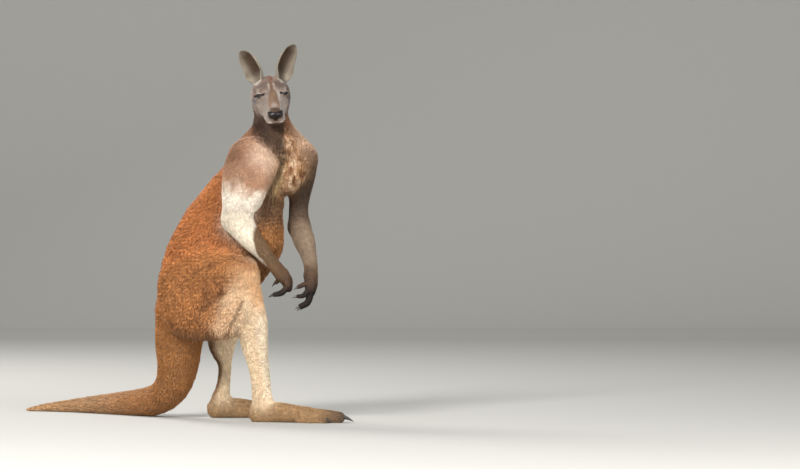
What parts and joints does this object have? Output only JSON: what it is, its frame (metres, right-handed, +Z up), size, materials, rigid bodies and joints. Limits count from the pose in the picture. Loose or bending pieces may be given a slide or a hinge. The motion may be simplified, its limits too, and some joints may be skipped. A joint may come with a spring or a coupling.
{
  "type": "kangaroo",
  "caption": "Life-size still model of an old male red kangaroo standing at rest on hind feet and tail, arms hanging, chest and face turned to one side, with solid mesh fur.",
  "frame": {"origin": "on the floor, below the middle of the box round the whole animal", "axes": "+Z up; +X the way the hips and hind feet point, within about ten degrees; -Y the side that the chest and face are turned to"},
  "size_m": [1.2468, 0.861, 1.4083],
  "materials": {
    "rufous_coat": "thick rufous fur on the back, flanks, hips and thighs",
    "chest_coat": "short patchy ochre, rufous and cream fur",
    "shoulder_coat": "short pinkish grey-buff fur",
    "face_coat": "very short grey-brown fur with paler muzzle stripes",
    "cream_coat": "cream fur",
    "arm_coat": "short grey-brown fur, cream below",
    "shin_coat": "short cream-buff fur",
    "tail_coat": "rufous-buff fur",
    "foot_coat": "short buff fur, dark on the toes",
    "hand_skin": "dark bare skin with thin black-brown fur",
    "ear_skin": "thin skin with a fine grey coat, dark inside",
    "nose_skin": "damp black bare skin",
    "claw_horn": "dark horn, worn satin",
    "eye": "wet dark brown eye"
  },
  "bodies": {
    "root": {"head": "face_coat", "neck": "shoulder_coat", "chest": "chest_coat", "abdomen": "rufous_coat", "hips": "rufous_coat", "tail_root": "rufous_coat", "tail_bend": "tail_coat", "tail_laid": "tail_coat", "tail_mid": "tail_coat", "tail_tip": "tail_coat", "near_upper_arm": "cream_coat", "near_forearm": "arm_coat", "near_hand": "hand_skin", "far_upper_arm": "arm_coat", "far_forearm": "arm_coat", "far_hand": "hand_skin", "near_thigh": "rufous_coat", "near_shank": "shin_coat", "near_foot": "foot_coat", "far_thigh": "rufous_coat", "far_shank": "shin_coat", "far_foot": "foot_coat", "near_hand_claw_1": "claw_horn", "near_hand_claw_2": "claw_horn", "near_hand_claw_3": "claw_horn", "near_hand_claw_4": "claw_horn", "near_hand_claw_5": "claw_horn", "far_hand_claw_1": "claw_horn", "far_hand_claw_2": "claw_horn", "far_hand_claw_3": "claw_horn", "far_hand_claw_4": "claw_horn", "far_hand_claw_5": "claw_horn", "near_foot_claw_1": "claw_horn", "near_foot_claw_2": "claw_horn", "near_foot_claw_3": "claw_horn", "near_foot_claw_4": "claw_horn", "far_foot_claw_1": "claw_horn", "far_foot_claw_2": "claw_horn", "far_foot_claw_3": "claw_horn", "far_foot_claw_4": "claw_horn", "near_ear": "ear_skin", "far_ear": "ear_skin", "near_eye": "eye", "far_eye": "eye"}
  },
  "joints": []
}
